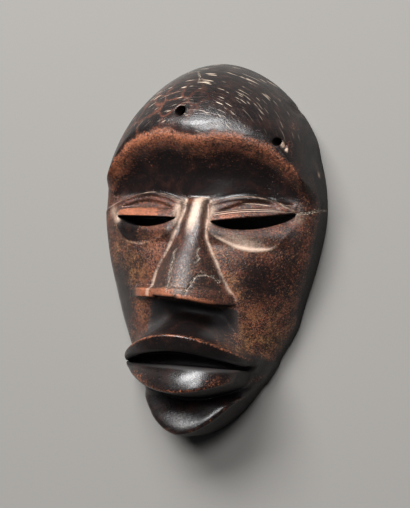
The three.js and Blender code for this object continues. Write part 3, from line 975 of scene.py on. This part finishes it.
def smoked_black_and_shade(add, read, noise, paint, uneven, place):
    """Soot and oil, also the colour of the painted shade below the nose and in the brow recess, with warm
    brown showing through in places and brown veins at the crown's left.
    """
    shown = add(*RAMP, (noise["blotch"], 0.45, 0.7, 0, 0.8))
    warp = add(*NOISE, {"Vector": place, "Scale": 9 / HUNDRED_MM, "Detail": 2}, "Color")
    warp = add("VectorMath", {"operation": "MULTIPLY_ADD"}, (warp, [10 * MM] * 3, place))
    cells = {"Vector": warp, "Scale": 7.5 / HUNDRED_MM}
    vein = add("TexVoronoi", {"feature": "DISTANCE_TO_EDGE"}, cells, "Distance")
    vein = add(*TIMES_PLUS, (uneven, 0.25, vein))
    vein = add(*RAMP, (vein, 0.11, 0.01, 0, 0.85))
    vein = add(*TIMES, (vein, read["vein"]))
    black = paint["soot"]
    for share, colour in ((shown, "smoked"), (vein, "heartwood")):
        black = add(*MIX, {0: share, 6: black, 7: paint[colour]}, MIXED)
    return black


def lid_flutes(add, read):
    """1 on the ridges between the cuts of a lid and -1 in the cuts, fading to 0 past the lid."""
    flute = add(*TIMES, (read["lid"], 2 * pi * LID_FLUTES))
    flute = add("Math", {"operation": "COSINE"}, (flute,))
    above_roll = add(*RAMP, (read["lid"], 0.18, 0.26))
    below_lens = add(*RAMP, (read["lid"], 0.56, 0.48))
    for share in (above_roll, below_lens, read["on_lid"]):
        flute = add(*TIMES, (flute, share))
    return flute


def pale_line_on_lid(add, read, place):
    """A pale line above the lens of the right eye."""
    line = add(*LESS, (read["lid"], 0.74))
    line = add(*SIZE_OF, (line,))
    line = add(*RAMP, (line, 0.05, 0.01, 0, 0.8))
    place_x = add("SeparateXYZ", {}, (place,), "X")
    from_left = add(*RAMP, (place_x, 26 * MM, 31 * MM))
    to_right = add(*RAMP, (place_x, 46 * MM, 41 * MM))
    for share in (from_left, to_right, read["on_lid"]):
        line = add(*TIMES, (line, share))
    return line


def pale_lines(add, read, noise, uneven, flute, place):
    """Pale residue, with the painted highlight on the bridge and sheen on the right bag: soft along the nose,
    thin on the eye arches and bags, between the lid's cuts.
    """
    patch = add(*RAMP, (noise["blotch"], 0.3, 0.6, 0.25, 1))
    lines = read["residue"]
    for name, width, strength in (("crease", 2.8, 0.62), ("arch", 1.1, 0.7)):
        away = add(*SIZE_OF, (read[name],))
        away = add(*TIMES_PLUS, (uneven, width, away))
        line = add(*RAMP, (away, width, 0.1, 0, strength))
        for share in (patch, read[name + "_on"]):
            line = add(*TIMES, (line, share))
        lines = add(*MOST, (lines, line))
    ridge = add(*RAMP, (flute, 0.2, 0.9, 0, 0.75))
    for line in (ridge, pale_line_on_lid(add, read, place)):
        lines = add(*MOST, (lines, line))
    lines = add(*TIMES_PLUS, (uneven, 0.7, lines))
    return add(*RAMP, (lines, 0.12, 0.95, 0, 0.9))


def cracks(add, read, noise, uneven):
    """Cracks with pale broken edges and a dark middle."""
    away = add(*SIZE_OF, (read["crack"],))
    away = add(*TIMES_PLUS, (uneven, 2.2, away))
    pale = add(*RAMP, (away, 0.8, 0.2, 0, 0.7))
    broken = add(*RAMP, (noise["speck"], 0.4, 0.55, 1, 0.35))
    for share in (read["crack_open"], broken):
        pale = add(*TIMES, (pale, share))
    core = add(*RAMP, (away, 0.35, 0.05))
    core = add(*TIMES, (core, read["crack_open"]))
    return pale, core


def crown_marks(add, read, place):
    """Fine tool marks around the crown, and scratches about 0.5 mm wide and 4 mm long."""
    centred = add("VectorMath", {"operation": "SUBTRACT"}, (place, CROWN_CENTRE))
    around_x = add("SeparateXYZ", {}, (centred,), "X")
    around_y = add("SeparateXYZ", {}, (centred,), "Y")
    flat = add("CombineXYZ", {}, (around_x, around_y))
    radius = add("VectorMath", {"operation": "LENGTH"}, (flat,), "Value")
    turn = add("Math", {"operation": "ARCTAN2"}, (around_x, around_y))
    turn = add(*TIMES, (turn, CROWN_RADIUS))
    swirl = add("CombineXYZ", {}, (turn, radius, 0))
    crown = add(*RAMP, (around_y, 12 * MM, 45 * MM))
    towards_left = add(*RAMP, (around_x, 45 * MM, 22 * MM, 0.35, 1))
    marks = add("Mapping", {}, {"Vector": swirl, "Scale": (0.14, 1, 1)})
    marks = add(*NOISE, {"Vector": marks, "Scale": 90 / HUNDRED_MM, "Detail": 2})
    marks = add(*RAMP, (marks, 0.5, 0.72))
    marks = add(*TIMES, (marks, crown))
    nicks = 0
    for tilt, start, low, most in SCRATCH_GROUPS:
        turned = {"Location": (start, start * 0.37, 0), "Rotation": (0, 0, tilt)}
        turned = add("Mapping", {}, {"Vector": swirl, "Scale": (0.065, 1, 0.5), **turned})
        streak = add(*NOISE, {"Vector": turned, "Scale": 110 / HUNDRED_MM, "Detail": 0})
        streak = add(*RAMP, (streak, 0.70, 0.77, 0, most))
        group = add("VectorMath", {"operation": "ADD"}, (place, (start, 0, 0)))
        group = add(*NOISE, {"Vector": group, "Scale": 7 / HUNDRED_MM, "Detail": 2})
        group = add(*RAMP, (group, low, low + 0.08))
        streak = add(*TIMES, (streak, group))
        nicks = add(*MOST, (nicks, streak))
    outside = add(*LESS, (1, read["raw"]))
    for share in (crown, towards_left, outside):
        nicks = add(*TIMES, (nicks, share))
    return marks, nicks


def bare_wood(add, paint, place):
    """Unfinished, darkened wood in the hollow, its grain about 3 mm wide."""
    long_grain = add("Mapping", {}, {"Vector": place, "Scale": (1, 0.12, 1)})
    figure = {"Vector": long_grain, "Scale": 30 / HUNDRED_MM, "Detail": 5, "Roughness": 0.6}
    figure = add(*NOISE, figure)
    figure = add(*RAMP, (figure, 0.3, 0.72))
    return add(*MIX, {0: figure, 6: paint["bare"], 7: paint["bare_dark"]}, MIXED)


def patina_material(colours):
    """Carved hardwood with a smoked and oiled patina.

    Oil and soot give deep near-black browns with a soft wax gloss, and the same black is painted as shade
    below the nose and over the soot in the brow recess. Handling has rubbed the proud edges to warm
    orange-brown wood, pale residue sits in the cut lines, a pale highlight is painted down the nose bridge
    with its wear and a sheen with the dust on the right eye's bag, and the cheeks show open pores as black
    specks. The pores of such wood are about 0.3 mm wide; they are drawn 1 mm wide, since the render would
    lose finer ones.
    """
    material, add = new_material("Carved hardwood with smoked patina")
    read = {name: add("Attribute", {"attribute_name": name}, {}, "Fac") for name in FINISH}
    paint = {name: linear(getattr(colours, name)) for name in MaskColours.__annotations__}
    place = add("TexCoord", {}, {}, "Object")
    noise = {}
    for name, lumps, detail, rough in NOISES:
        links = {"Vector": place, "Scale": lumps / HUNDRED_MM, "Detail": detail, "Roughness": rough}
        noise[name] = add(*NOISE, links)
    uneven = add(*LESS, (noise["fine"], 0.5))
    specks = add(*RAMP, (noise["speck"], 0.42, 0.56))
    sparse = add(*RAMP, (noise["blotch"], 0.35, 0.7, 1, 0.6))
    specks = add(*TIMES, (specks, sparse))

    # How far each place is rubbed, with the specks left in its pores, and how far soot and painted shade
    # cover it
    rub = add(*TIMES_PLUS, (uneven, 2.2, read["worn"]))
    rub = add(*RAMP, (rub, 0.3, 0.9))
    pores = add(*TIMES_PLUS, (rub, -0.3, 0.85))
    pores = add(*TIMES, (pores, specks))
    covered = add(*TIMES_PLUS, (uneven, 2, read["soot"]))
    covered = add(*RAMP, (covered, 0.2, 0.8))

    # Colours, from the wood up
    flute = lid_flutes(add, read)
    lines = pale_lines(add, read, noise, uneven, flute, place)
    groove = add(*RAMP, (flute, -0.3, -0.9, 0, 0.8))
    pale, core = cracks(add, read, noise, uneven)
    marks, nicks = crown_marks(add, read, place)
    faint = add(*TIMES, (marks, 0.5))
    wood = stained_wood(add, read, noise, paint)
    # The covered layer also paints shade, and the pale lines a highlight on the nose bridge and a sheen on
    # the right bag.
    layers = (
        (covered, smoked_black_and_shade(add, read, noise, paint, uneven, place)),
        (rub, paint["worn"]), (pores, paint["soot"]), (lines, paint["residue"]), (groove, paint["soot"]),
        (pale, paint["scratch"]), (core, paint["soot"]), (faint, paint["marks"]), (nicks, paint["scratch"]),
        (read["raw"], bare_wood(add, paint, place)),
    )
    for share, colour in layers:
        wood = add(*MIX, {0: share, 6: wood, 7: colour}, MIXED)

    # Wax gloss on the black places, duller on worn, speckled, pale and bare wood
    gloss = add(*TIMES_PLUS, (covered, -0.06, 0.34))
    dullings = (
        (read["dull"], 0.28), (rub, 0.08), (lines, 0.12), (uneven, 0.25), (specks, 0.06),
        (read["raw"], 0.32), (nicks, 0.2),
    )
    for share, dulling in dullings:
        gloss = add(*TIMES_PLUS, (share, dulling, gloss))

    # Relief too fine to carve, in millimetres
    relief = add(*TIMES, (noise["blotch"], 0.06))
    dry = add(*TIMES_PLUS, (covered, -0.8, 1))
    dry = add(*TIMES, (dry, specks))
    lifts = ((noise["fine"], 0.015), (dry, -0.10), (nicks, -0.12), (marks, -0.06), (flute, 0.13))
    for share, lift in (*lifts, (core, -0.5)):
        relief = add(*TIMES_PLUS, (share, lift, relief))
    bump = add("Bump", {}, {"Strength": 1, "Distance": MM, "Height": relief})
    surface = {"Base Color": wood, "Roughness": gloss, "Normal": bump, "IOR": 1.45}
    add("OutputMaterial", {}, {"Surface": add("BsdfPrincipled", {}, surface)})
    return material


def floor_material(colours):
    """Matte pale backdrop paper: an even, soft grey with no gloss."""
    material, add = new_material("Matte backdrop paper")
    paper = add("BsdfPrincipled", {}, {"Base Color": linear(colours.floor), "Roughness": 0.85})
    add("OutputMaterial", {}, {"Surface": paper})
    return material


# Operators

def quad_mesh(name, points, quads):
    mesh = bpy.data.meshes.new(name)
    mesh.vertices.add(len(points))
    mesh.vertices.foreach_set("co", points.ravel())
    mesh.loops.add(quads.size)
    mesh.loops.foreach_set("vertex_index", quads.ravel())
    mesh.polygons.add(len(quads))
    mesh.polygons.foreach_set("loop_start", np.arange(0, quads.size, 4))
    mesh.update(calc_edges=True)
    return mesh


def thinned(piece, most):
    """Applies a decimation that keeps at most a number of triangles."""
    triangles = sum(len(polygon.vertices) - 2 for polygon in piece.data.polygons)
    if triangles <= most:
        return
    modifier = piece.modifiers.new("Thin", "DECIMATE")
    modifier.ratio = most / triangles
    seen = piece.evaluated_get(bpy.context.evaluated_depsgraph_get())
    mesh = bpy.data.meshes.new_from_object(seen)
    piece.modifiers.clear()
    old = piece.data
    piece.data = mesh
    bpy.data.meshes.remove(old)


def values_of(items, name, width, kind=float):
    """One value of each of a mesh's items, as rows of a width."""
    values = np.zeros(len(items) * width, kind)
    items.foreach_get(name, values)
    return values.reshape(-1, width)


class MASK_OT_carve(Operator):
    """Carve the mask from one block of hardwood and finish it"""
    bl_idname = "mask.carve"
    bl_label = "Carve the mask"

    def execute(self, context):
        size = context.scene.mask_sizes
        cell = size.cell
        grid, low = sampled_distance(size, cell)
        points, quads = surface_of(grid, low, cell)
        points = settle(size, points, cell)
        normals = normals_of(points, quads)
        points = points + normals * fine_relief(size, points, normals)[:, None]
        points[:, 2] = np.maximum(points[:, 2], 0)
        piece = bpy.data.objects.new("carved_mask", quad_mesh("carved_mask", points * MM, quads))
        context.scene.collection.objects.link(piece)
        thinned(piece, size.most_faces)
        mesh = piece.data
        place = values_of(mesh.vertices, "co", 3) / MM
        normal = values_of(mesh.vertices, "normal", 3)
        pairs = values_of(mesh.edges, "vertices", 2, np.int32)
        for name, values in finish_masks(size, place, normal, pairs).items():
            attribute = mesh.attributes.new(name, "FLOAT", "POINT")
            attribute.data.foreach_set("value", values.astype(np.float32))
        mesh.polygons.foreach_set("use_smooth", [True] * len(mesh.polygons))
        mesh.materials.append(patina_material(context.scene.mask_colours))
        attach(piece, "root")
        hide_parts("mask")
        return {"FINISHED"}


class MASK_OT_stage(Operator):
    """Lay the floor, hang the lights and set the camera"""
    bl_idname = "mask.stage"
    bl_label = "Light the stage"

    def execute(self, context):
        stage = context.scene.mask_stage
        colours = context.scene.mask_colours
        self.lay_floor(context, colours)
        for name, power, place, target, sides in SOFTBOXES:
            self.hang_softbox(context, name, getattr(stage, power), place, target, sides)
        world = bpy.data.worlds.new("Studio room")
        world.use_nodes = True
        background = world.node_tree.nodes["Background"]
        background.inputs["Color"].default_value = linear(colours.room)
        background.inputs["Strength"].default_value = stage.world
        context.scene.world = world
        self.set_camera(context, stage)
        context.scene.view_settings.view_transform = "Standard"
        return {"FINISHED"}

    def lay_floor(self, context, colours):
        mesh = bpy.data.meshes.new("floor")
        corners = [(-1, -1), (1, -1), (1, 1), (-1, 1)]
        mesh.from_pydata([(x * FLOOR_REACH, y * FLOOR_REACH, 0) for x, y in corners], [], [(0, 1, 2, 3)])
        floor = bpy.data.objects.new("floor", mesh)
        context.scene.collection.objects.link(floor)
        mesh.materials.append(floor_material(colours))

    def hang_softbox(self, context, name, power, place, target, sides):
        light = bpy.data.lights.new(name, "AREA")
        light.shape = "RECTANGLE"
        light.size, light.size_y = sides
        light.energy = power
        lamp = bpy.data.objects.new(name, light)
        context.scene.collection.objects.link(lamp)
        lamp.location = place
        lamp.rotation_euler = (Vector(target) - Vector(place)).to_track_quat("-Z", "Y").to_euler()

    def set_camera(self, context, stage):
        yaw, pitch, roll = stage.yaw, stage.pitch, stage.roll
        back = Vector((sin(yaw) * cos(pitch), sin(pitch), cos(yaw) * cos(pitch)))
        right = Vector((0, 1, 0)).cross(back).normalized()
        up = back.cross(right)
        leaned_right = right * cos(roll) + up * sin(roll)
        leaned_up = up * cos(roll) - right * sin(roll)
        data = bpy.data.cameras.new("Camera")
        camera = bpy.data.objects.new("Camera", data)
        context.scene.collection.objects.link(camera)
        turn = Matrix((leaned_right, leaned_up, back)).transposed().to_4x4()
        turn.translation = Vector(AIM) + back * stage.distance
        camera.matrix_world = turn
        width, height = PICTURE
        data.sensor_fit = "VERTICAL"
        data.sensor_height = SENSOR
        data.lens = SENSOR * stage.pixels_per_mm / MM * stage.distance / height
        data.shift_x = -(AIM_PIXEL[0] - width / 2) / height
        data.shift_y = (AIM_PIXEL[1] - height / 2) / height
        data.clip_start = 10 * MM
        context.scene.camera = camera


class MASK_PT_sidebar(Panel):
    """Lists the steps that make the mask"""
    bl_idname = "MASK_PT_sidebar"
    bl_label = "Carved wooden mask"
    bl_space_type = "VIEW_3D"
    bl_region_type = "UI"
    bl_category = "Mask"

    def draw(self, context):
        for step in (MASK_OT_carve, MASK_OT_stage):
            self.layout.operator(step.bl_idname)
        scene = context.scene
        for group in (scene.mask_sizes, scene.mask_colours, scene.mask_stage):
            for name in type(group).__annotations__:
                self.layout.prop(group, name)


CLASSES = (MaskSizes, MaskColours, MaskStage, MASK_OT_carve, MASK_OT_stage, MASK_PT_sidebar)


def register():
    for cls in CLASSES:
        bpy.utils.register_class(cls)
    bpy.types.Scene.mask_sizes = PointerProperty(type=MaskSizes)
    bpy.types.Scene.mask_colours = PointerProperty(type=MaskColours)
    bpy.types.Scene.mask_stage = PointerProperty(type=MaskStage)


def unregister():
    del bpy.types.Scene.mask_stage
    del bpy.types.Scene.mask_colours
    del bpy.types.Scene.mask_sizes
    for cls in reversed(CLASSES):
        bpy.utils.unregister_class(cls)


def main():
    register()
    bpy.ops.mask.stage()
    bpy.ops.mask.carve()


if __name__ == "__main__":
    main()
